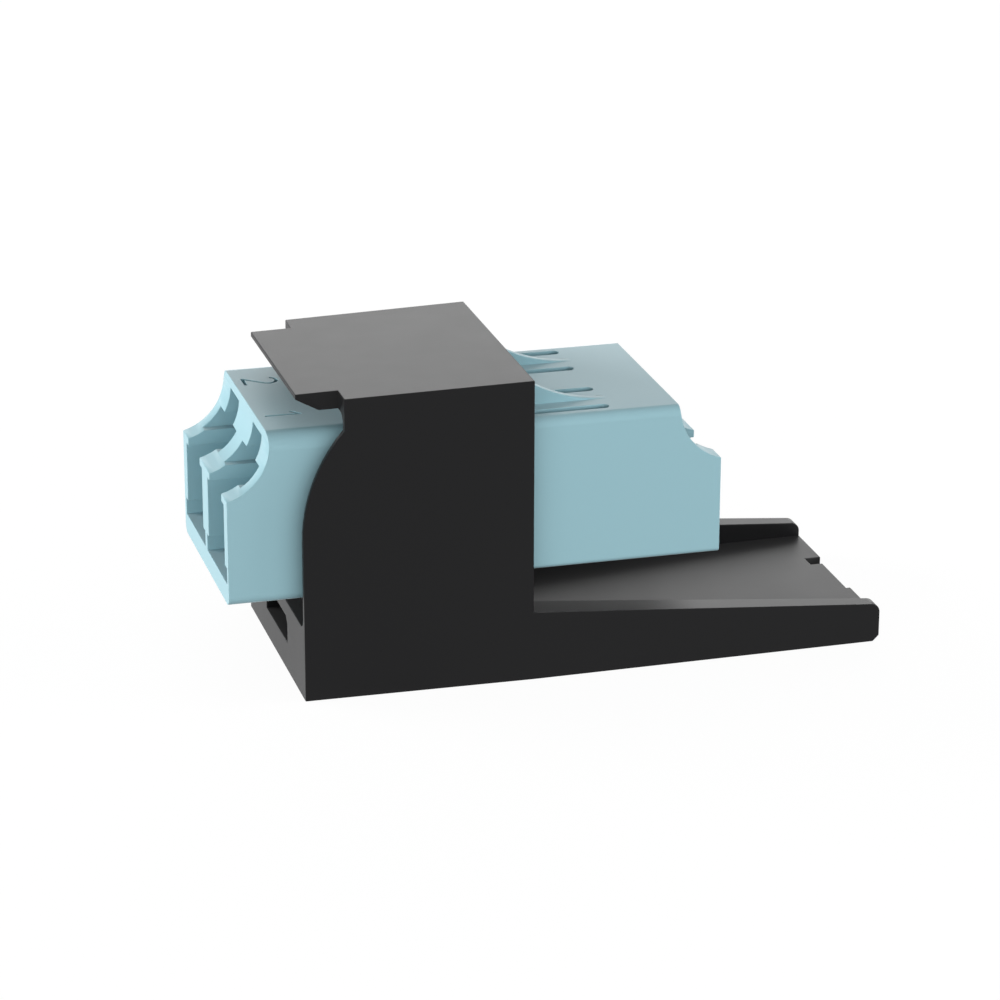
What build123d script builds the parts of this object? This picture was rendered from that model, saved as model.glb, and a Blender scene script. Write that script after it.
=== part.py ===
from build123d import *
from math import radians, sqrt, tan
import os

# Duplex LC fibre adapter module: a black moulded housing with a rear lever tray,
# around an aqua adapter made of two shells that trap two split ceramic sleeves.
# Millimetres. +X runs from the front ports to the lever, +Z is up, and the origin
# is the middle of the outline on the plane that the module stands on.

# Connector standard
port_pitch = 6.25
plug_width = 4.52
plug_play = 0.055
ferrule_diameter = 1.25
ferrule_axis_z = 9.26

# Lengths along the module, from the housing's rear plane
lever_length = 21.35
hood_length = 13.38
adapter_front_reach = 17.44
adapter_length = 29.06

# Port openings, seen from the end: a square with a wide foot below and a stepped
# keyway above for the plug's latch
foot_width = 5.74
foot_height = 1.0
neck_width = 3.4
neck_height = 0.88
lug_slot_width = 4.55
lug_slot_height = 1.2
keyway_width = 2.4
front_keyway_height = 1.435
rear_keyway_height = 0.995
latch_pocket_start = 4.2
latch_pocket_length = 2.2
latch_pocket_rise = 0.95
partition_thickness = 3.2

# Adapter shells
port_side_wall = 0.405
keyway_roof = 0.7
front_floor_wall = 1.225
rear_floor_wall = 0.735
front_top_radius = 1.0
front_bottom_radius = 0.6
rear_top_radius = 0.6
rear_bottom_radius = 0.3
collar_length = 1.6
collar_projection = 0.65
collar_drop = 1.28
collar_play = 0.13
collar_corner_radius = 0.5
scoop_radius = 3.33
scoop_axis_outset = 0.84
scoop_axis_rise = 5.99

# Hood of the housing
cheek_wall = 0.4
roof_headroom = 1.08
roof_wall = 1.27
hood_draft = 1.06
shoulder_setback = 2.45
shoulder_height = 1.89
cheek_arc_base_z = 9.6
pocket_depth = 6.03
pocket_corner_radius = 0.6
passage_play = 0.1
passage_corner_radius = 0.3

# Tab of the roof, over the front ports
tab_width = 12.0
tab_tip_setback = 0.03
tab_tip_thickness = 0.3
tab_ramp_length = 1.32

# Slot in the front block
slot_width = 5.7
slot_height = 1.57
slot_depth = 11.0
slot_floor_z = 1.73
slot_corner_chamfer = 0.35

# Lever tray
lever_side_taper = 0.2875
rail_root_height = 4.17
rail_end_height = 2.34
rail_root_thickness = 1.88
rail_end_thickness = 1.05
rail_end_radius = 0.55
lever_bottom_chamfer = 0.37
tray_floor_thickness = 1.53
lip_width = 5.2
lip_setback = 0.25
notch_length = 1.0
notch_width = 1.0
notch_depth = 1.0

# Catch tongues on top of the rear shell, each a rib between two grooves
tongue_outset = 0.425
groove_spacing = 3.15
groove_width = 0.65
groove_depth = 0.45
groove_reach = 5.17
rib_thickness = 0.5
rib_arc_radius = 8.8
rib_arc_reach = 5.5
rib_flat_length = 0.75
catch_height = 0.53
catch_play = 0.1
window_side_play = 0.15
window_top_play = 0.15

# Split sleeves and the flanged tubes that hold them
sleeve_length = 11.4
sleeve_wall = 0.185
sleeve_slit_width = 0.2
sleeve_play = 0.065
sleeve_end_play = 0.05
holder_wall = 0.625
holder_lip_length = 0.55
holder_lip_play = 0.075
holder_mouth_flare = 0.25
holder_lead_in = 0.2
flange_diameter = 4.2
flange_thickness = 1.2
holder_play = 0.025
flange_play = 0.05

# Places along X
rear_x = (adapter_front_reach - lever_length) / 2
front_x = rear_x - hood_length
shoulder_x = front_x + shoulder_setback
step_x = front_x + pocket_depth
lever_end_x = rear_x + lever_length
adapter_front_x = rear_x - adapter_front_reach
adapter_rear_x = adapter_front_x + adapter_length
adapter_half_length = adapter_length / 2
seam_x = adapter_front_x + adapter_half_length
port_depth = adapter_half_length - partition_thickness

# Adapter sections, built outward from the ports
port_width = plug_width + 2 * plug_play
adapter_width = port_pitch + foot_width + 2 * port_side_wall
port_floor_z = ferrule_axis_z - port_width / 2
keyway_base_z = ferrule_axis_z + port_width / 2 + neck_height + lug_slot_height
front_section_bottom_z = port_floor_z - front_floor_wall
front_section_top_z = keyway_base_z + front_keyway_height + keyway_roof
rear_section_bottom_z = port_floor_z - rear_floor_wall
rear_section_top_z = keyway_base_z + rear_keyway_height + keyway_roof
scoop_axis_z = ferrule_axis_z + scoop_axis_rise

# Housing, built outward from the adapter. It tapers forward by its mould draft
draft_slope = tan(radians(hood_draft))
pocket_width = adapter_width + 2 * (collar_projection + collar_play)
pocket_floor_z = front_section_bottom_z - collar_drop - collar_play
passage_width = adapter_width + 2 * passage_play
passage_floor_z = rear_section_bottom_z - passage_play
roof_underside_z = front_section_top_z + roof_headroom
hood_height = roof_underside_z + roof_wall
hood_front_width = pocket_width + 2 * cheek_wall
hood_width = hood_front_width + 2 * hood_length * draft_slope
shoulder_z = hood_height - (rear_x - shoulder_x) * draft_slope
cheek_arc_top_z = shoulder_z - shoulder_height
tab_tip_x = front_x + tab_tip_setback
tab_tip_z = hood_height - (rear_x - tab_tip_x) * draft_slope
lever_end_width = hood_width - 2 * lever_side_taper

# Catch rib: an arc that leaves the shell's top as a tangent and ends in a flat top
rib_top_z = roof_underside_z + catch_height
rib_rise = rib_top_z - rear_section_top_z
rib_run = sqrt(rib_arc_radius**2 - (rib_arc_radius - rib_rise) ** 2)
rib_arc_x = rear_x + rib_arc_reach
rib_flat_x = rib_arc_x - rib_run
rib_front_x = rib_flat_x - rib_flat_length
window_front_x = rib_front_x - catch_play

# Sleeve holders, from the ferrule outward
sleeve_outer_radius = ferrule_diameter / 2 + sleeve_wall
holder_bore_radius = sleeve_outer_radius + sleeve_play
holder_radius = holder_bore_radius + holder_wall
holder_lip_radius = ferrule_diameter / 2 + holder_lip_play
holder_bore_length = sleeve_length / 2 + sleeve_end_play
holder_length = holder_bore_length + holder_lip_length
flange_seat_depth = flange_thickness + flange_play

# Each mouth plane looks into its own end of the adapter
front_mouth = Plane.YZ.offset(adapter_front_x)
rear_mouth = Plane(origin=(adapter_rear_x, 0, 0), x_dir=(0, -1, 0), z_dir=(-1, 0, 0))
port_sides = (-port_pitch / 2, port_pitch / 2)
port_centres = [(y, ferrule_axis_z) for y in port_sides]
tongue_sides = (-port_pitch / 2 - tongue_outset, port_pitch / 2 + tongue_outset)


def section(plane, width, bottom, top, bottom_radius, top_radius):
    """A rectangle across the module with its lower and its upper corners rounded."""
    with BuildSketch(plane) as block:
        with Locations((0, (bottom + top) / 2)):
            Rectangle(width, top - bottom)
        fillet(block.vertices().group_by(Axis.Y)[0], bottom_radius)
        fillet(block.vertices().group_by(Axis.Y)[-1], top_radius)
    return block.sketch


def cut_scoop(end_x, outward):
    """The concave thumb scoop across the top edge of one adapter end."""
    with BuildSketch(Plane.XZ) as scoop:
        with Locations((end_x + outward * scoop_axis_outset, scoop_axis_z)):
            Circle(scoop_radius)
    extrude(scoop.sketch, amount=adapter_width, both=True, mode=Mode.SUBTRACT)


def cut_ports(mouth, keyway_height):
    """Two plug openings, their latch pockets and the seats of the sleeve holders."""
    neck_base = port_width / 2
    lug_base = neck_base + neck_height
    keyway_base = lug_base + lug_slot_height
    steps = (
        (foot_width, -port_width / 2, foot_height),
        (neck_width, neck_base, neck_height),
        (lug_slot_width, lug_base, lug_slot_height),
        (keyway_width, keyway_base, keyway_height),
    )
    with BuildSketch(mouth) as openings:
        with Locations(*port_centres):
            Rectangle(port_width, port_width)
        for width, base, height in steps:
            with Locations(*[(y, z + base) for y, z in port_centres]):
                Rectangle(width, height, align=(Align.CENTER, Align.MIN))
    extrude(openings.sketch, amount=port_depth, mode=Mode.SUBTRACT)

    with BuildSketch(mouth.offset(latch_pocket_start)) as latch_pockets:
        with Locations(*[(y, z + keyway_base) for y, z in port_centres]):
            Rectangle(lug_slot_width, latch_pocket_rise, align=(Align.CENTER, Align.MIN))
    extrude(latch_pockets.sketch, amount=latch_pocket_length, mode=Mode.SUBTRACT)

    with BuildSketch(mouth.offset(port_depth)) as barrel_holes:
        with Locations(*port_centres):
            Circle(holder_radius + holder_play)
    extrude(barrel_holes.sketch, amount=partition_thickness, mode=Mode.SUBTRACT)

    with BuildSketch(mouth.offset(adapter_half_length - flange_seat_depth)) as flange_seats:
        with Locations(*port_centres):
            Circle(flange_diameter / 2 + flange_play)
    extrude(flange_seats.sketch, amount=flange_seat_depth, mode=Mode.SUBTRACT)


# Housing: hood, tab and lever tray are one moulding
with BuildPart() as module_housing:
    with BuildSketch(Plane.XZ) as side:
        with BuildLine():
            Polyline(
                (front_x, cheek_arc_base_z),
                (front_x, 0),
                (lever_end_x, 0),
                (lever_end_x, rail_end_height),
                (rear_x, rail_root_height),
                (rear_x, hood_height),
                (shoulder_x, shoulder_z),
                (shoulder_x, cheek_arc_top_z),
            )
            TangentArc(
                (front_x, cheek_arc_base_z),
                (shoulder_x, cheek_arc_top_z),
                tangent=(0, 1),
            )
        make_face()
        chamfer(side.vertices().group_by(Axis.X)[-1].sort_by(Axis.Y)[0], lever_bottom_chamfer)
        fillet(side.vertices().group_by(Axis.X)[-1].sort_by(Axis.Y)[-1], rail_end_radius)
    extrude(amount=hood_width, both=True)

    # Seen from above, the cheeks and the rails narrow away from the rear plane
    with BuildSketch(Plane.XY):
        with BuildLine():
            Polyline(
                (front_x, -hood_front_width / 2),
                (rear_x, -hood_width / 2),
                (lever_end_x, -lever_end_width / 2),
                (lever_end_x, lever_end_width / 2),
                (rear_x, hood_width / 2),
                (front_x, hood_front_width / 2),
                close=True,
            )
        make_face()
    extrude(amount=hood_height, mode=Mode.INTERSECT)

    # Pocket that takes the adapter's collar, and the passage behind it
    pocket = section(
        Plane.YZ.offset(front_x),
        pocket_width,
        pocket_floor_z,
        roof_underside_z,
        pocket_corner_radius,
        pocket_corner_radius,
    )
    extrude(pocket, amount=pocket_depth, mode=Mode.SUBTRACT)
    passage = section(
        Plane.YZ.offset(step_x),
        passage_width,
        passage_floor_z,
        roof_underside_z,
        passage_corner_radius,
        passage_corner_radius,
    )
    extrude(passage, amount=rear_x - step_x, mode=Mode.SUBTRACT)

    # Windows under the roof, open to the rear, that the catch ribs snap into
    with BuildSketch(Plane.XY.offset(roof_underside_z)):
        with Locations(*[((window_front_x + rear_x) / 2, y) for y in tongue_sides]):
            Rectangle(rear_x - window_front_x, rib_thickness + 2 * window_side_play)
    extrude(amount=catch_height + window_top_play, mode=Mode.SUBTRACT)

    with BuildSketch(Plane.YZ.offset(front_x)):
        with Locations((0, slot_floor_z + slot_height / 2)):
            slot = Rectangle(slot_width, slot_height)
        chamfer(slot.vertices().group_by(Axis.Y)[-1], slot_corner_chamfer)
    extrude(amount=slot_depth, mode=Mode.SUBTRACT)

    with BuildSketch(Plane.XZ):
        with BuildLine():
            Polyline(
                (shoulder_x, shoulder_z),
                (tab_tip_x, tab_tip_z),
                (tab_tip_x, tab_tip_z - tab_tip_thickness),
                (tab_tip_x + tab_ramp_length, roof_underside_z),
                (shoulder_x, roof_underside_z),
                close=True,
            )
        make_face()
    extrude(amount=tab_width / 2, both=True)

    # Tray between the two rails
    with BuildSketch(Plane.XY.offset(tray_floor_thickness)):
        with BuildLine():
            Polyline(
                (rear_x, rail_root_thickness - hood_width / 2),
                (lever_end_x, rail_end_thickness - lever_end_width / 2),
                (lever_end_x, lever_end_width / 2 - rail_end_thickness),
                (rear_x, hood_width / 2 - rail_root_thickness),
                close=True,
            )
        make_face()
    extrude(amount=rail_root_height, mode=Mode.SUBTRACT)

    # The middle of the tray's end stands back a little, with a notch at one side
    with BuildSketch(Plane.XY):
        with Locations((lever_end_x, 0)):
            Rectangle(lip_setback, lip_width, align=(Align.MAX, Align.CENTER))
    extrude(amount=tray_floor_thickness, mode=Mode.SUBTRACT)

    with BuildSketch(Plane.XY.offset(tray_floor_thickness)):
        with Locations((lever_end_x, lip_width / 2)):
            Rectangle(notch_length, notch_width, align=(Align.MAX, Align.MAX))
    extrude(amount=-notch_depth, mode=Mode.SUBTRACT)

module_housing.part.label = "module_housing"


# Front shell: its collar stops on the step inside the housing
with BuildPart() as adapter_front_shell:
    nose = section(
        front_mouth,
        adapter_width,
        front_section_bottom_z,
        front_section_top_z,
        front_bottom_radius,
        front_top_radius,
    )
    extrude(nose, amount=step_x - collar_length - adapter_front_x)
    collar = section(
        Plane.YZ.offset(step_x - collar_length),
        pocket_width - 2 * collar_play,
        pocket_floor_z + collar_play,
        roof_underside_z - collar_play,
        collar_corner_radius,
        collar_corner_radius,
    )
    extrude(collar, amount=collar_length)
    inner_end = section(
        Plane.YZ.offset(step_x),
        adapter_width,
        rear_section_bottom_z,
        rear_section_top_z,
        rear_bottom_radius,
        rear_top_radius,
    )
    extrude(inner_end, amount=seam_x - step_x)

    cut_scoop(adapter_front_x, -1)
    cut_ports(front_mouth, front_keyway_height)

adapter_front_shell.part.label = "adapter_front_shell"


# Rear shell: two catch tongues, each with a rib between two grooves
with BuildPart() as adapter_rear_shell:
    body = section(
        rear_mouth,
        adapter_width,
        rear_section_bottom_z,
        rear_section_top_z,
        rear_bottom_radius,
        rear_top_radius,
    )
    extrude(body, amount=adapter_half_length)
    cut_scoop(adapter_rear_x, 1)
    cut_ports(rear_mouth, rear_keyway_height)

    # Grooves run from the seam to a round end
    groove_end_x = rear_x + groove_reach - groove_width / 2
    groove_sides = [y + side * groove_spacing / 2 for y in tongue_sides for side in (-1, 1)]
    with BuildSketch(Plane.XY.offset(rear_section_top_z)):
        with Locations(*[((seam_x + groove_end_x) / 2, y) for y in groove_sides]):
            Rectangle(groove_end_x - seam_x, groove_width)
        with Locations(*[(groove_end_x, y) for y in groove_sides]):
            Circle(groove_width / 2)
    extrude(amount=-groove_depth, mode=Mode.SUBTRACT)

    for tongue_y in tongue_sides:
        with BuildSketch(Plane.XZ.offset(-tongue_y)):
            with BuildLine():
                Polyline(
                    (rib_arc_x, rear_section_top_z),
                    (rib_front_x, rear_section_top_z),
                    (rib_front_x, rib_top_z),
                    (rib_flat_x, rib_top_z),
                )
                TangentArc(
                    (rib_arc_x, rear_section_top_z),
                    (rib_flat_x, rib_top_z),
                    tangent=(-1, 0),
                )
            make_face()
        extrude(amount=rib_thickness / 2, both=True)

adapter_rear_shell.part.label = "adapter_rear_shell"


# Split sleeves, one on each ferrule axis, slit along the bottom
split_sleeves = []
for number, port_y in enumerate(port_sides, start=1):
    with BuildPart() as split_sleeve:
        with BuildSketch(Plane.YZ.offset(seam_x - sleeve_length / 2)):
            with Locations((port_y, ferrule_axis_z)):
                Circle(sleeve_outer_radius)
                Circle(ferrule_diameter / 2, mode=Mode.SUBTRACT)
            with Locations((port_y, ferrule_axis_z - sleeve_outer_radius)):
                Rectangle(sleeve_slit_width, 2 * sleeve_wall + sleeve_play, mode=Mode.SUBTRACT)
        extrude(amount=sleeve_length)
    split_sleeve.part.label = f"split_sleeve_{number}"
    split_sleeves.append(split_sleeve.part)


# Sleeve holders, two on each axis, flange to flange at the seam. The lip at the tip
# keeps the sleeve in, and flares outward to guide the ferrule
sleeve_holders = []
for end_name, direction in (("front", -1), ("rear", 1)):
    for number, port_y in enumerate(port_sides, start=1):
        with BuildPart() as sleeve_holder:
            with BuildSketch(Plane.XZ.offset(-port_y)):
                profile = (
                    (0, holder_bore_radius),
                    (0, flange_diameter / 2),
                    (flange_thickness, flange_diameter / 2),
                    (flange_thickness, holder_radius),
                    (holder_length - holder_lead_in, holder_radius),
                    (holder_length, holder_radius - holder_lead_in),
                    (holder_length, holder_lip_radius + holder_mouth_flare),
                    (holder_bore_length, holder_lip_radius),
                    (holder_bore_length, holder_bore_radius),
                )
                with BuildLine():
                    Polyline(
                        *[(seam_x + direction * x, ferrule_axis_z + r) for x, r in profile],
                        close=True,
                    )
                make_face()
            revolve(axis=Axis((seam_x, port_y, ferrule_axis_z), (1, 0, 0)))
        sleeve_holder.part.label = f"sleeve_holder_{end_name}_{number}"
        sleeve_holders.append(sleeve_holder.part)


pieces = [module_housing.part, adapter_front_shell.part, adapter_rear_shell.part]
pieces += split_sleeves + sleeve_holders
os.makedirs("parts", exist_ok=True)
for piece in pieces:
    export_step(piece, f"parts/{piece.label}.step")
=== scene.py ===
"""Looks of a duplex fibre adapter module: moulded housing, aqua shells and sleeves."""

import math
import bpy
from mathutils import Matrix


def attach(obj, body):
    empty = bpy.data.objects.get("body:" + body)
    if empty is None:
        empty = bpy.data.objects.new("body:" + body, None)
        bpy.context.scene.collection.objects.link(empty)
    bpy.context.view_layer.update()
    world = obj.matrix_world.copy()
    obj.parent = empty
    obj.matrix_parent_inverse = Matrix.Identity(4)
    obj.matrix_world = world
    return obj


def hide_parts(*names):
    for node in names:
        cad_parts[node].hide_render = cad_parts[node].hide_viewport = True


bl_info = {
    "name": "Fibre Adapter Module",
    "version": (1, 0, 0),
    "blender": (4, 5, 0),
    "location": "3D View > Sidebar > Adapter Module",
    "description": "Finishes the housing, the adapter shells and the sleeves of the module",
    "category": "Object",
}

import bmesh
import bpy
from mathutils import Matrix, Vector

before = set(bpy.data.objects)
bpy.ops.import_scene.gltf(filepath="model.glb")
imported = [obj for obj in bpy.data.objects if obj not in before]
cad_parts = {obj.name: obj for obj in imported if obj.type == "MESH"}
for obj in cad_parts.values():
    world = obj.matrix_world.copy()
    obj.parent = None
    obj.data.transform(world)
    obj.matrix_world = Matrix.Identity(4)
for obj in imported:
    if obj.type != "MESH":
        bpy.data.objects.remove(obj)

MM = 0.001
BODY = "root"
HOUSING = "module_housing"
FRONT_SHELL = "adapter_front_shell"
REAR_SHELL = "adapter_rear_shell"

# Points this close are one, and faces whose planes differ less than this are flat
MERGE_GAP = 0.001 * MM
FLAT_WITHIN = math.radians(0.3)

# An edge is a corner from this angle on, and from a smaller one beside a flat wall
CORNER = math.radians(32)
CORNER_AT_WALL = math.radians(18)

# A flat wall looks along an axis and has at least this area
ALONG_AXIS = 0.99999
WALL_AREA = 0.3 * MM * MM

# Faces within this reach of a wide wall's normal take it over at their shared corners
WIDE_WALL = 3.0 * MM * MM
WALL_REACH = math.radians(16)

# Points along each rounded corner of a sleeve or holder
FILLET_STEPS = 3

# Strokes of the numbers 1 and 2, in heights of a number, from the foot's middle
ONE_STROKES = (((0.0, -0.05), (0.0, 1.05)), ((-0.27, 0.76), (0.03, 1.02)))
TWO_STROKES = (((0.22, 0.58), (-0.29, 0.0)), ((-0.33, 0.0), (0.31, 0.0)))
TWO_BOW_CENTRE = (0.0, 0.73, 0.0)
TWO_BOW_RADIUS = 0.27
TWO_BOW_START = math.radians(160)
TWO_BOW_SWEEP = math.radians(-200)
TWO_BOW_STEPS = 20

# Each lamp's name, power setting, place, width, height and whether it leaves a highlight
LAMPS = (
    ("front light", "front_power", (-0.02, -0.42, 0.10), 1.2, 0.15, False),
    ("port light", "port_power", (-0.34, 0.22, 0.05), 0.25, 0.10, False),
    ("lever light", "lever_power", (0.42, -0.10, 0.15), 0.25, 0.20, True),
    ("back light", "back_power", (0.16, 0.44, 0.16), 0.55, 0.26, True),
)
LAMP_AIM = (0.0, 0.0, 0.009)

# The range that nearly all of a noise texture's values lie in
NOISE_RANGE = (0.3, 0.7)

WHITE = (1.0, 1.0, 1.0, 1.0)
FLOOR_HALF = 1.5
FLOOR_TONE = (0.3, 0.3, 0.3)
FLOOR_GLOW = 1.26
FLOOR_GLOW_SHARE = 0.75

# What sees the white background: the camera, reflections and see-through rays
SHOWN = ("Is Camera Ray", "Is Glossy Ray", "Is Transmission Ray")


# Settings that a user would change

def length(name, description, default):
    """A length of the object, given in millimetres."""
    return bpy.props.FloatProperty(
        name=name,
        description=description,
        default=default * MM,
        min=0.0,
        precision=6,
        unit="LENGTH",
    )


def share(name, description, default):
    """A number from nothing to one."""
    return bpy.props.FloatProperty(
        name=name, description=description, default=default, min=0.0, max=1.0, subtype="FACTOR"
    )


def tint(name, description, default):
    """A linear colour."""
    return bpy.props.FloatVectorProperty(
        name=name,
        description=description,
        default=default,
        size=3,
        min=0.0,
        max=1.0,
        subtype="COLOR",
    )


def power(name, description, default):
    """The power of a lamp in watts."""
    return bpy.props.FloatProperty(
        name=name, description=description, default=default, min=0.0, unit="POWER"
    )


class HousingSettings(bpy.types.PropertyGroup):
    """Black moulded housing"""

    edge_radius: length("Edge radius", "Rounding of the housing's outer edges", 0.06)
    colour: tint("Colour", "Colour of the black plastic", (0.006, 0.006, 0.0065))
    roughness: share("Roughness", "Mean roughness of the moulded surface", 0.42)


class ShellSettings(bpy.types.PropertyGroup):
    """Aqua adapter shells"""

    edge_radius: length("Edge radius", "Rounding of the shells' outer edges", 0.035)
    number_height: length("Number height", "Height of the sunk port numbers", 1.9)
    number_stroke: length("Number stroke", "Width of the port numbers' strokes", 0.2)
    number_depth: length("Number depth", "How deep the port numbers are sunk", 0.22)
    number_inset: length("Number inset", "From the front mouth to the numbers' feet", 3.05)
    port_pitch: length("Port pitch", "Distance between the two ports", 6.25)
    colour: tint("Colour", "Colour of the aqua plastic", (0.28, 0.465, 0.52))
    roughness: share("Roughness", "Mean roughness of the moulded surface", 0.5)


class SleeveSettings(bpy.types.PropertyGroup):
    """Split sleeves and their holders"""

    bore: length("Bore", "Radius of a sleeve's bore, which grips the ferrule", 0.625)
    wall: length("Sleeve wall", "Wall thickness of a ceramic sleeve", 0.185)
    slit: length("Slit", "Width of the slit along each sleeve", 0.2)
    holder_bore: length("Holder bore", "Radius inside a holder", 0.875)
    holder_radius: length("Holder radius", "Radius outside a holder", 1.5)
    flange_radius: length("Flange radius", "Radius of a holder's flange", 2.1)
    flange_thickness: length("Flange thickness", "Thickness of a holder's flange", 1.2)
    lip_length: length("Lip length", "Length of the lip that keeps the sleeve in", 0.55)
    lip_bore: length("Lip bore", "Radius of the lip at the sleeve's end", 0.7)
    mouth_bore: length("Mouth bore", "Radius of the lip at the holder's tip", 0.95)
    lead_in: length("Lead-in", "Slant round a holder's tip", 0.2)
    edge_radius: length("Edge radius", "Rounding of all these edges", 0.04)
    steps: bpy.props.IntProperty(
        name="Steps round",
        description="Number of flats round a sleeve or holder",
        default=72,
        min=12,
        max=256,
    )


class StageSettings(bpy.types.PropertyGroup):
    """Camera, floor and lamps"""

    lens: bpy.props.FloatProperty(
        name="Lens",
        description="Focal length on a 36 mm wide sensor",
        default=133.5,
        min=10.0,
        subtype="DISTANCE_CAMERA",
    )
    turn: bpy.props.FloatVectorProperty(
        name="Turn",
        description="Azimuth, elevation and roll of the camera",
        subtype="EULER",
        size=3,
        default=(math.radians(-15.52), math.radians(20.267), math.radians(0.144)),
    )
    place: bpy.props.FloatVectorProperty(
        name="Place",
        description="Where the camera stands",
        subtype="TRANSLATION",
        size=3,
        default=(-0.056575, -0.19723, 0.08382),
    )
    surround: share("Surround", "Strength of the soft light from all round", 0.2)
    front_power: power("Front light", "Power of the lamp on the camera's side", 2.65)
    port_power: power("Port light", "Power of the lamp that faces the front ports", 2.5)
    lever_power: power("Lever light", "Power of the lamp beyond the lever tray", 0.9)
    back_power: power("Back light", "Power of the low lamp behind the module", 0.83)


# Materials

def new_finish(name):
    """A material with its Principled shader, and helpers to add nodes to it."""
    material = bpy.data.materials.new(name)
    material.use_nodes = True
    nodes = material.node_tree.nodes
    return material, nodes, material.node_tree.links, nodes["Principled BSDF"]


def noise(nodes, links, coordinates, scale, detail, stretch=(1.0, 1.0, 1.0)):
    """Noise on the object's own coordinates, stretched by a Mapping node."""
    mapping = nodes.new("ShaderNodeMapping")
    mapping.inputs["Scale"].default_value = stretch
    texture = nodes.new("ShaderNodeTexNoise")
    texture.inputs["Scale"].default_value = scale
    texture.inputs["Detail"].default_value = detail
    links.new(coordinates.outputs["Object"], mapping.inputs["Vector"])
    links.new(mapping.outputs["Vector"], texture.inputs["Vector"])
    return texture.outputs["Fac"]


def spread(nodes, links, value, low, high):
    """The texture value mapped from its usual range to low..high."""
    span = nodes.new("ShaderNodeMapRange")
    span.inputs["From Min"].default_value, span.inputs["From Max"].default_value = NOISE_RANGE
    span.inputs["To Min"].default_value = low
    span.inputs["To Max"].default_value = high
    links.new(value, span.inputs["Value"])
    return span.outputs["Result"]


def shade(nodes, links, value, colour, darker, lighter):
    """The piece's colour, varied between a darker and a lighter tone of itself."""
    mix = nodes.new("ShaderNodeMix")
    mix.data_type = "RGBA"
    mix.inputs["A"].default_value = (*(c * darker for c in colour), 1.0)
    mix.inputs["B"].default_value = (*(c * lighter for c in colour), 1.0)
    links.new(value, mix.inputs["Factor"])
    return mix.outputs["Result"]


def relief(nodes, links, value, height, strength):
    """Bump of a given height in metres."""
    bump = nodes.new("ShaderNodeBump")
    bump.inputs["Distance"].default_value = height
    bump.inputs["Strength"].default_value = strength
    links.new(value, bump.inputs["Height"])
    return bump.outputs["Normal"]


def moulded_plastic(name, colour, roughness, grain, swing, specular, sheen):
    """Satin moulded plastic: a fine spark-eroded grain, faint flow and uneven gloss."""
    gloss_swing = 0.008
    material, nodes, links, principled = new_finish(name)
    coordinates = nodes.new("ShaderNodeTexCoord")
    flow = noise(nodes, links, coordinates, scale=120.0, detail=3.0, stretch=(0.35, 1.0, 1.0))
    patches = noise(nodes, links, coordinates, scale=450.0, detail=2.0)
    fine = noise(nodes, links, coordinates, scale=9000.0, detail=2.0)
    tone = shade(nodes, links, flow, colour, 1.0 - swing, 1.0 + swing)
    gloss = spread(nodes, links, patches, roughness - gloss_swing, roughness + gloss_swing)
    surface = relief(nodes, links, fine, grain, strength=0.3)
    links.new(tone, principled.inputs["Base Color"])
    links.new(gloss, principled.inputs["Roughness"])
    links.new(surface, principled.inputs["Normal"])
    principled.inputs["Specular IOR Level"].default_value = specular
    principled.inputs["Sheen Weight"].default_value = sheen
    principled.inputs["Sheen Roughness"].default_value = 0.3
    return material


def black_moulding(settings):
    """Black plastic of the housing, which greys where light grazes it."""
    return moulded_plastic(
        "black_moulding",
        settings.colour,
        settings.roughness,
        grain=0.002 * MM,
        swing=0.08,
        specular=0.18,
        sheen=0.1,
    )


def aqua_moulding(settings):
    """Aqua plastic of the adapter shells."""
    return moulded_plastic(
        "aqua_moulding",
        settings.colour,
        settings.roughness,
        grain=0.0015 * MM,
        swing=0.02,
        specular=0.25,
        sheen=0.4,
    )


def holder_moulding(settings):
    """Aqua plastic of the sleeve holders, a little glossier than the shells."""
    return moulded_plastic(
        "holder_moulding",
        settings.colour,
        settings.roughness - 0.12,
        grain=0.001 * MM,
        swing=0.02,
        specular=0.4,
        sheen=0.0,
    )


def polished_ceramic():
    """Warm white ceramic, ground along the bore and polished."""
    material, nodes, links, principled = new_finish("polished_ceramic")
    coordinates = nodes.new("ShaderNodeTexCoord")
    grinding = noise(
        nodes, links, coordinates, scale=4000.0, detail=2.0, stretch=(0.05, 1.0, 1.0)
    )
    clouds = noise(nodes, links, coordinates, scale=900.0, detail=2.0)
    warm_white = (0.80, 0.78, 0.72)
    tone = shade(nodes, links, clouds, warm_white, darker=0.97, lighter=1.03)
    gloss = spread(nodes, links, grinding, low=0.12, high=0.2)
    surface = relief(nodes, links, grinding, height=0.001 * MM, strength=0.2)
    links.new(tone, principled.inputs["Base Color"])
    links.new(gloss, principled.inputs["Roughness"])
    links.new(surface, principled.inputs["Normal"])
    principled.inputs["Specular IOR Level"].default_value = 0.8
    return material


# Meshes

def add_piece(context, name, mesh):
    """A new object at the origin that holds the mesh."""
    piece = bpy.data.objects.new(name, mesh)
    context.scene.collection.objects.link(piece)
    return piece


def keep_result(context, piece):
    """Puts the evaluated mesh in place of the piece's mesh and its modifiers."""
    context.view_layer.update()
    depsgraph = context.evaluated_depsgraph_get()
    evaluated = piece.evaluated_get(depsgraph)
    mesh = bpy.data.meshes.new_from_object(
        evaluated, preserve_all_data_layers=True, depsgraph=depsgraph
    )
    piece.modifiers.clear()
    piece.data = mesh
    mesh.name = piece.name


def hand_over(piece, node, material):
    """The piece takes the node's place and the one material."""
    piece.data.materials.clear()
    piece.data.materials.append(material)
    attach(piece, BODY)
    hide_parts(node)


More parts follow.
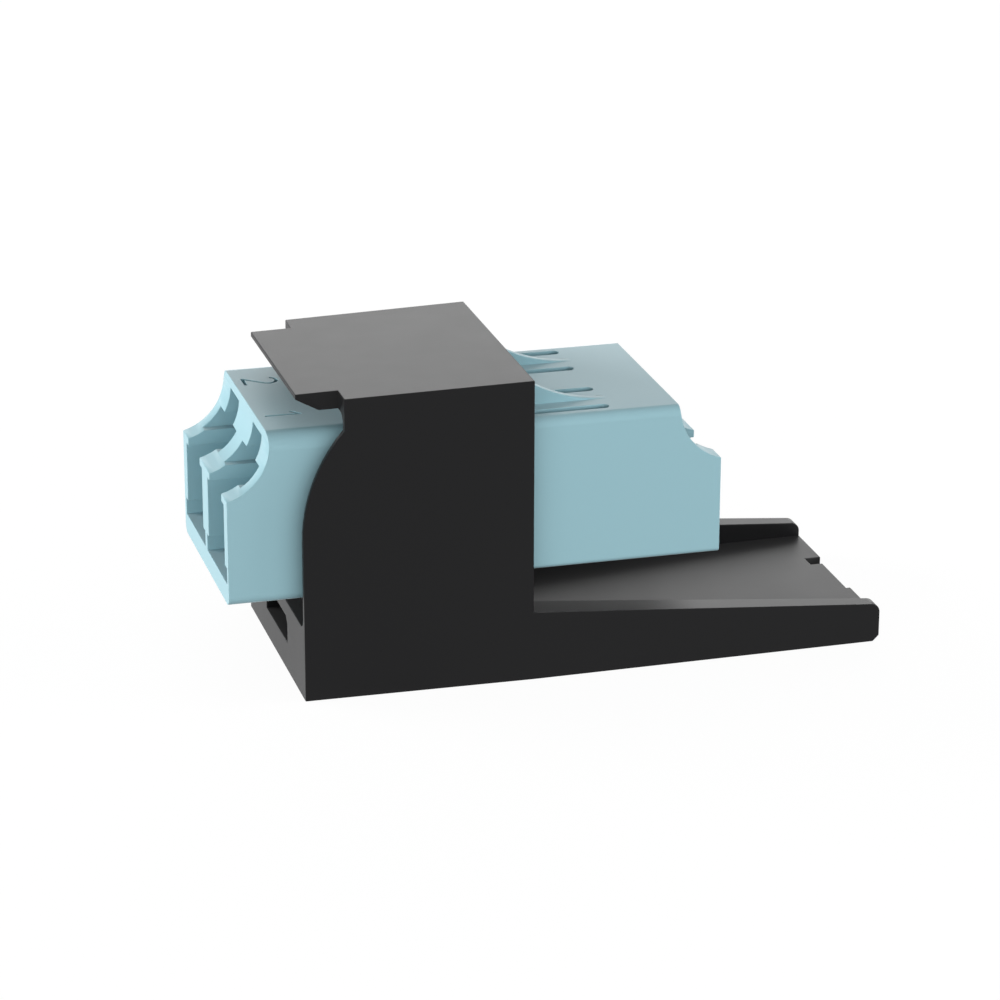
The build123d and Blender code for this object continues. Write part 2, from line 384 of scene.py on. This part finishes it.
def node_box(node):
    """The lowest and the highest corner of a node's own mesh."""
    points = [vert.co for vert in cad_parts[node].data.vertices]
    low = Vector(min(point[i] for point in points) for i in range(3))
    high = Vector(max(point[i] for point in points) for i in range(3))
    return low, high


def merged_copy(node):
    """A copy of a node's mesh with its loose triangles joined into flat faces."""
    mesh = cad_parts[node].data.copy()
    shape = bmesh.new()
    shape.from_mesh(mesh)
    bmesh.ops.remove_doubles(shape, verts=shape.verts, dist=MERGE_GAP)
    bmesh.ops.dissolve_limit(
        shape,
        angle_limit=FLAT_WITHIN,
        use_dissolve_boundaries=False,
        verts=shape.verts,
        edges=shape.edges,
    )
    shape.to_mesh(mesh)
    shape.free()
    mesh.materials.clear()
    return mesh


def inside(point, box):
    """Whether a point is in a box given by its two corners."""
    return all(low <= value <= high for low, value, high in zip(box[0], point, box[1]))


def is_wall(face):
    """Whether a face is a flat one along the axes, and no facet of a round one."""
    return max(abs(part) for part in face.normal) > ALONG_AXIS and face.calc_area() > WALL_AREA


def mark_edges(mesh, bare=()):
    """Outer corners get a bevel weight. Inner ones, and those in bare boxes, stay sharp."""
    shape = bmesh.new()
    shape.from_mesh(mesh)
    weight = shape.edges.layers.float.new("bevel_weight_edge")
    for edge in shape.edges:
        if len(edge.link_faces) != 2:
            continue
        corner = CORNER_AT_WALL if any(map(is_wall, edge.link_faces)) else CORNER
        if edge.calc_face_angle() < corner:
            continue
        plain_edge = any(all(inside(vert.co, box) for vert in edge.verts) for box in bare)
        if edge.is_convex and not plain_edge:
            edge[weight] = 1.0
        else:
            edge.smooth = False
    shape.to_mesh(mesh)
    shape.free()


def plane_of(face):
    """A key that all faces in one plane share: its normal and its distance in mm."""
    distance = face.normal.dot(face.center) / MM
    return (*(round(part, 3) for part in face.normal), round(distance, 2))


def flatten_walls(mesh):
    """Gives each corner at a wide flat wall the wall's own normal."""
    areas = {}
    for face in mesh.polygons:
        key = plane_of(face)
        areas[key] = areas.get(key, 0.0) + face.area
    walls = {}
    for face in mesh.polygons:
        if areas[plane_of(face)] > WIDE_WALL:
            for vert in face.vertices:
                walls.setdefault(vert, []).append(face.normal.copy())
    normals = [corner.vector.copy() for corner in mesh.corner_normals]
    for face in mesh.polygons:
        for index in face.loop_indices:
            for normal in walls.get(mesh.loops[index].vertex_index, ()):
                if normal.angle(face.normal, math.pi) < WALL_REACH:
                    normals[index] = normal
    mesh.normals_split_custom_set(normals)


def round_edges(context, piece, radius, bare=()):
    """Rounds the outer edges, but not in the bare boxes, and keeps flat faces flat."""
    piece.data.shade_smooth()
    mark_edges(piece.data, bare)
    bevel = piece.modifiers.new("Edge radius", "BEVEL")
    bevel.width = radius
    bevel.segments = 2
    bevel.limit_method = "WEIGHT"
    bevel.use_clamp_overlap = False
    normals = piece.modifiers.new("Flat faces", "WEIGHTED_NORMAL")
    normals.weight = 100
    normals.keep_sharp = True
    keep_result(context, piece)
    flatten_walls(piece.data)


def set_in_place(piece, place, turn=0.0):
    """Lays a tube made about the Z axis along X, turned about Z, at its place."""
    matrix = Matrix.Translation(place) @ Matrix.Rotation(turn, 4, "Z")
    piece.data.transform(matrix @ Matrix.Rotation(math.pi / 2, 4, "Y"))
    shape = bmesh.new()
    shape.from_mesh(piece.data)
    bmesh.ops.remove_doubles(shape, verts=shape.verts, dist=MERGE_GAP / 10)
    bmesh.ops.recalc_face_normals(shape, faces=shape.faces)
    shape.to_mesh(piece.data)
    shape.free()
    piece.data.shade_smooth()


# Geometry Nodes

SOCKETS = {float: "NodeSocketFloat", int: "NodeSocketInt"}


class Tree:
    """A geometry tree with one named input for each size, always ended in one way."""

    def __init__(self, name, sizes):
        self.group = bpy.data.node_groups.new(name, "GeometryNodeTree")
        self.sizes = sizes
        add_socket = self.group.interface.new_socket
        add_socket("Geometry", in_out="INPUT", socket_type="NodeSocketGeometry")
        for size, value in sizes.items():
            add_socket(size, in_out="INPUT", socket_type=SOCKETS[type(value)])
        add_socket("Material", in_out="INPUT", socket_type="NodeSocketMaterial")
        add_socket("Geometry", in_out="OUTPUT", socket_type="NodeSocketGeometry")
        self.given = self.group.nodes.new("NodeGroupInput").outputs

    def add(self, kind, *inputs, out=0, **settings):
        """A node's output. An input that is a text names one of the tree's own inputs."""
        node = self.group.nodes.new(kind)
        for name, value in settings.items():
            setattr(node, name, value)
        for socket, value in zip([s for s in node.inputs if s.enabled], inputs):
            if isinstance(value, str):
                value = self.given[value]
            if isinstance(value, bpy.types.NodeSocket):
                self.group.links.new(value, socket)
            elif value is not None:
                socket.default_value = value
        return node.outputs[out]

    def reckon(self, operation, *values):
        """The result of a Math node."""
        return self.add("ShaderNodeMath", *values, operation=operation)

    def sweep(self, curve, profile):
        """The profile swept along a flat curve, upright and with its ends filled."""
        upright = self.add("GeometryNodeSetCurveNormal", curve, mode="Z_UP")
        return self.add("GeometryNodeCurveToMesh", upright, profile, 1.0, True)

    def end(self, geometry):
        """Realize Instances and Set Material, then the tree's output."""
        whole = self.add("GeometryNodeRealizeInstances", geometry)
        dressed = self.add("GeometryNodeSetMaterial", whole, None, "Material")
        result = self.group.nodes.new("NodeGroupOutput")
        self.group.links.new(dressed, result.inputs["Geometry"])

    def run(self, context, piece, material):
        """Runs the tree on a piece with its sizes and keeps the result as its mesh."""
        modifier = piece.modifiers.new(self.group.name, "NODES")
        modifier.node_group = self.group
        for item in self.group.interface.items_tree:
            if item.in_out == "INPUT" and item.name in self.sizes:
                modifier[item.identifier] = self.sizes[item.name]
            elif item.in_out == "INPUT" and item.name == "Material":
                modifier[item.identifier] = material
        keep_result(context, piece)


def number_tree(settings, top, feet):
    """Sinks the numbers 1 and 2 into a flat top, each on its own foot point."""
    tree = Tree(
        "sunk numbers",
        {
            "Height": settings.number_height,
            "Stroke": settings.number_stroke,
            "Depth": settings.number_depth,
        },
    )

    def lines(strokes):
        return [
            tree.add("GeometryNodeCurvePrimitiveLine", (*start, 0.0), (*end, 0.0))
            for start, end in strokes
        ]

    bow = tree.add(
        "GeometryNodeCurveArc", TWO_BOW_STEPS, TWO_BOW_RADIUS, TWO_BOW_START, TWO_BOW_SWEEP
    )
    bow = tree.add("GeometryNodeTransform", bow, TWO_BOW_CENTRE)
    strokes_of = (lines(ONE_STROKES), [bow, *lines(TWO_STROKES)])
    twice_deep = tree.reckon("MULTIPLY", "Depth", 2.0)
    profile = tree.add("GeometryNodeCurvePrimitiveQuadrilateral", "Stroke", twice_deep)
    scale = tree.add("ShaderNodeCombineXYZ", "Height", "Height", "Height")
    facing_ports = (0.0, 0.0, -math.pi / 2)
    cut = tree.group.nodes.new("GeometryNodeMeshBoolean")
    cut.operation = "DIFFERENCE"
    cut.solver = "EXACT"
    tree.group.links.new(tree.given["Geometry"], cut.inputs["Mesh 1"])
    for strokes, foot in zip(strokes_of, feet):
        for stroke in strokes:
            placed = tree.add(
                "GeometryNodeTransform", stroke, (*foot, top), facing_ports, scale
            )
            tree.group.links.new(tree.sweep(placed, profile), cut.inputs["Mesh 2"])
    tree.end(cut.outputs["Mesh"])
    return tree


def sleeve_tree(settings, span):
    """A slit tube: a rounded wall section swept round all but the slit."""
    tree = Tree(
        "split sleeve",
        {
            "Length": span,
            "Bore": settings.bore,
            "Wall": settings.wall,
            "Slit": settings.slit,
            "Edge": settings.edge_radius,
            "Steps": settings.steps,
        },
    )
    middle = tree.reckon("MULTIPLY_ADD", "Wall", 0.5, "Bore")
    gap = tree.reckon("DIVIDE", "Slit", middle)
    start = tree.reckon("MULTIPLY", gap, 0.5)
    sweep = tree.reckon("SUBTRACT", 2 * math.pi, gap)
    ring = tree.add("GeometryNodeCurveArc", "Steps", middle, start, sweep)
    wall = tree.add("GeometryNodeCurvePrimitiveQuadrilateral", "Wall", "Length")
    wall = tree.add("GeometryNodeFilletCurve", wall, FILLET_STEPS, "Edge", True, mode="POLY")
    tree.end(tree.sweep(ring, wall))
    return tree


def holder_tree(settings, ring_radius):
    """A tube turned from the outline that the piece holds, with its corners rounded."""
    tree = Tree(
        "sleeve holder",
        {"Ring": ring_radius, "Edge": settings.edge_radius, "Steps": settings.steps},
    )
    outline = tree.add("GeometryNodeMeshToCurve", "Geometry")
    outline = tree.add(
        "GeometryNodeFilletCurve", outline, FILLET_STEPS, "Edge", True, mode="POLY"
    )
    ring = tree.add("GeometryNodeCurvePrimitiveCircle", "Steps", "Ring")
    tree.end(tree.sweep(ring, outline))
    return tree


# Operators

class ADAPTER_OT_housing(bpy.types.Operator):
    """Rounds the housing's edges and gives it the black moulded finish"""

    bl_idname = "adapter_module.housing"
    bl_label = "Housing"

    def execute(self, context):
        settings = context.scene.adapter_housing
        piece = add_piece(context, "housing_moulding", merged_copy(HOUSING))
        round_edges(context, piece, settings.edge_radius)
        hand_over(piece, HOUSING, black_moulding(settings))
        return {"FINISHED"}


class ADAPTER_OT_shells(bpy.types.Operator):
    """Sinks the port numbers, rounds both shells and gives them the aqua finish"""

    bl_idname = "adapter_module.shells"
    bl_label = "Adapter shells"

    def execute(self, context):
        settings = context.scene.adapter_shells
        material = aqua_moulding(settings)
        low, _ = node_box(FRONT_SHELL)
        front = add_piece(context, "front_shell_moulding", merged_copy(FRONT_SHELL))
        foot_x = low.x + settings.number_inset
        half_pitch = settings.port_pitch / 2
        top = max(vert.co.z for vert in front.data.vertices if vert.co.x < foot_x)
        feet = [(foot_x, -half_pitch), (foot_x, half_pitch)]
        number_tree(settings, top, feet).run(context, front, material)
        margin = settings.number_height / 4
        reach = half_pitch + settings.number_height / 2
        numbers = (
            (foot_x - margin, -reach, top - 2 * settings.number_depth),
            (foot_x + settings.number_height + margin, reach, top + margin),
        )
        round_edges(context, front, settings.edge_radius, [numbers])
        hand_over(front, FRONT_SHELL, material)

        rear = add_piece(context, "rear_shell_moulding", merged_copy(REAR_SHELL))
        round_edges(context, rear, settings.edge_radius)
        hand_over(rear, REAR_SHELL, material)
        return {"FINISHED"}


class ADAPTER_OT_sleeves(bpy.types.Operator):
    """Makes the split ceramic sleeves and the flanged tubes that hold them"""

    bl_idname = "adapter_module.sleeves"
    bl_label = "Sleeves and holders"

    def execute(self, context):
        settings = context.scene.adapter_sleeves
        ceramic = polished_ceramic()
        low, high = node_box("split_sleeve_1")
        tree = sleeve_tree(settings, high.x - low.x)
        for number in (1, 2):
            node = f"split_sleeve_{number}"
            low, high = node_box(node)
            axis_z = high.z - settings.bore - settings.wall
            place = ((low.x + high.x) / 2, (low.y + high.y) / 2, axis_z)
            sleeve = add_piece(
                context, f"ceramic_sleeve_{number}", bpy.data.meshes.new("sleeve")
            )
            tree.run(context, sleeve, ceramic)
            set_in_place(sleeve, place)
            hand_over(sleeve, node, ceramic)

        plastic = holder_moulding(context.scene.adapter_shells)
        tree = holder_tree(settings, settings.holder_bore)
        for end, turn in (("front", math.pi), ("rear", 0.0)):
            for number in (1, 2):
                node = f"sleeve_holder_{end}_{number}"
                low, high = node_box(node)
                flange_x = high.x if end == "front" else low.x
                place = (flange_x, (low.y + high.y) / 2, (low.z + high.z) / 2)
                outline = holder_outline(settings, high.x - low.x)
                holder = add_piece(context, f"holder_tube_{end}_{number}", outline)
                tree.run(context, holder, plastic)
                set_in_place(holder, place, turn)
                hand_over(holder, node, plastic)
        return {"FINISHED"}


def holder_outline(settings, span):
    """Half of a holder's section as a closed outline, with its radius along X."""
    lip = span - settings.lip_length
    corners = (
        (settings.holder_bore, 0.0),
        (settings.flange_radius, 0.0),
        (settings.flange_radius, settings.flange_thickness),
        (settings.holder_radius, settings.flange_thickness),
        (settings.holder_radius, span - settings.lead_in),
        (settings.holder_radius - settings.lead_in, span),
        (settings.mouth_bore, span),
        (settings.lip_bore, lip),
        (settings.holder_bore, lip),
    )
    count = len(corners)
    points = [(radius - settings.holder_bore, along, 0.0) for radius, along in corners]
    mesh = bpy.data.meshes.new("holder")
    mesh.from_pydata(points, [(i, (i + 1) % count) for i in range(count)], [])
    return mesh


def area_lamp(context, name, place, aim, width, height, watts, glints):
    """A soft rectangular lamp that faces the aim point, with or without a highlight."""
    lamp = bpy.data.lights.new(name, "AREA")
    lamp.shape = "RECTANGLE"
    lamp.size = width
    lamp.size_y = height
    lamp.energy = watts
    fixture = bpy.data.objects.new(name, lamp)
    fixture.location = place
    fixture.visible_glossy = glints
    fixture.rotation_euler = (Vector(aim) - Vector(place)).to_track_quat("-Z", "Y").to_euler()
    context.scene.collection.objects.link(fixture)


def shown_rays(nodes, links):
    """One for the camera's own, reflected and transmitted rays, nothing for the rest."""
    path = nodes.new("ShaderNodeLightPath")
    first, *others = SHOWN
    total = path.outputs[first]
    for kind in others:
        either = nodes.new("ShaderNodeMath")
        either.operation = "MAXIMUM"
        links.new(total, either.inputs[0])
        links.new(path.outputs[kind], either.inputs[1])
        total = either.outputs["Value"]
    return total


def studio_world(context, strength):
    """White for what the camera and reflections see, and a soft fill for the rest."""
    world = bpy.data.worlds.new("studio")
    context.scene.world = world
    world.use_nodes = True
    nodes = world.node_tree.nodes
    links = world.node_tree.links
    nodes.clear()
    fill = nodes.new("ShaderNodeBackground")
    fill.inputs["Strength"].default_value = strength
    white = nodes.new("ShaderNodeBackground")
    white.inputs["Strength"].default_value = 1.0
    for background in (fill, white):
        background.inputs["Color"].default_value = WHITE
    mix = nodes.new("ShaderNodeMixShader")
    out = nodes.new("ShaderNodeOutputWorld")
    links.new(shown_rays(nodes, links), mix.inputs["Fac"])
    links.new(fill.outputs["Background"], mix.inputs[1])
    links.new(white.outputs["Background"], mix.inputs[2])
    links.new(mix.outputs["Shader"], out.inputs["Surface"])


def floor_material():
    """Pale floor that looks almost white to the camera and keeps the shadow."""
    material, nodes, links, principled = new_finish("pale_floor")
    coordinates = nodes.new("ShaderNodeTexCoord")
    mottle = noise(nodes, links, coordinates, scale=40.0, detail=2.0)
    tone = shade(nodes, links, mottle, FLOOR_TONE, darker=0.99, lighter=1.01)
    links.new(tone, principled.inputs["Base Color"])
    principled.inputs["Roughness"].default_value = 0.9
    principled.inputs["Specular IOR Level"].default_value = 0.1
    glow = nodes.new("ShaderNodeEmission")
    glow.inputs["Color"].default_value = WHITE
    glow.inputs["Strength"].default_value = FLOOR_GLOW
    part = nodes.new("ShaderNodeMath")
    part.operation = "MULTIPLY"
    part.inputs[1].default_value = FLOOR_GLOW_SHARE
    mix = nodes.new("ShaderNodeMixShader")
    links.new(shown_rays(nodes, links), part.inputs[0])
    links.new(part.outputs["Value"], mix.inputs["Fac"])
    links.new(principled.outputs["BSDF"], mix.inputs[1])
    links.new(glow.outputs["Emission"], mix.inputs[2])
    links.new(mix.outputs["Shader"], nodes["Material Output"].inputs["Surface"])
    return material


class ADAPTER_OT_stage(bpy.types.Operator):
    """Makes the floor, the lamps, the white surroundings and the camera"""

    bl_idname = "adapter_module.stage"
    bl_label = "Stage"

    def execute(self, context):
        settings = context.scene.adapter_stage
        scene = context.scene
        scene.view_settings.view_transform = "Standard"

        half = FLOOR_HALF
        mesh = bpy.data.meshes.new("floor")
        corners = [(-half, -half, 0), (half, -half, 0), (half, half, 0), (-half, half, 0)]
        mesh.from_pydata(corners, [], [(0, 1, 2, 3)])
        mesh.materials.append(floor_material())
        add_piece(context, "floor", mesh)

        studio_world(context, settings.surround)
        for name, power_setting, place, width, height, glints in LAMPS:
            watts = getattr(settings, power_setting)
            area_lamp(context, name, place, LAMP_AIM, width, height, watts, glints)

        camera = bpy.data.cameras.new("camera")
        camera.sensor_width = 36.0
        camera.lens = settings.lens
        camera.clip_start = 0.01
        camera.clip_end = 20.0
        camera_object = bpy.data.objects.new("camera", camera)
        azimuth, elevation, roll = settings.turn
        sin_a, cos_a = math.sin(azimuth), math.cos(azimuth)
        sin_e, cos_e = math.sin(elevation), math.cos(elevation)
        back = Vector((sin_a * cos_e, -cos_a * cos_e, sin_e))
        right = Vector((cos_a, sin_a, 0.0))
        turn = Matrix((right, back.cross(right), back)).transposed().to_4x4()
        turn = turn @ Matrix.Rotation(roll, 4, "Z")
        camera_object.matrix_world = Matrix.Translation(settings.place) @ turn
        scene.collection.objects.link(camera_object)
        scene.camera = camera_object
        return {"FINISHED"}


class ADAPTER_PT_panel(bpy.types.Panel):
    """Lists the steps that dress the module"""

    bl_idname = "ADAPTER_PT_panel"
    bl_label = "Adapter Module"
    bl_space_type = "VIEW_3D"
    bl_region_type = "UI"
    bl_category = "Adapter Module"

    def draw(self, context):
        for title, settings, step in STEPS:
            box = self.layout.box()
            box.label(text=title)
            group = getattr(context.scene, settings)
            for name in group.__annotations__:
                box.prop(group, name)
            box.operator(step)


STEPS = (
    ("Housing", "adapter_housing", "adapter_module.housing"),
    ("Adapter shells", "adapter_shells", "adapter_module.shells"),
    ("Sleeves and holders", "adapter_sleeves", "adapter_module.sleeves"),
    ("Stage", "adapter_stage", "adapter_module.stage"),
)
SETTINGS = {
    "adapter_housing": HousingSettings,
    "adapter_shells": ShellSettings,
    "adapter_sleeves": SleeveSettings,
    "adapter_stage": StageSettings,
}
CLASSES = (
    *SETTINGS.values(),
    ADAPTER_OT_housing,
    ADAPTER_OT_shells,
    ADAPTER_OT_sleeves,
    ADAPTER_OT_stage,
    ADAPTER_PT_panel,
)


def register():
    """Adds the classes and the settings to Blender."""
    for cls in CLASSES:
        bpy.utils.register_class(cls)
    for name, group in SETTINGS.items():
        setattr(bpy.types.Scene, name, bpy.props.PointerProperty(type=group))


def unregister():
    """Takes the classes and the settings away again."""
    for name in SETTINGS:
        delattr(bpy.types.Scene, name)
    for cls in reversed(CLASSES):
        bpy.utils.unregister_class(cls)


def main():
    """Dresses the whole module."""
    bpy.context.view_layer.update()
    register()
    bpy.ops.adapter_module.housing()
    bpy.ops.adapter_module.shells()
    bpy.ops.adapter_module.sleeves()
    bpy.ops.adapter_module.stage()


if __name__ == "__main__":
    main()
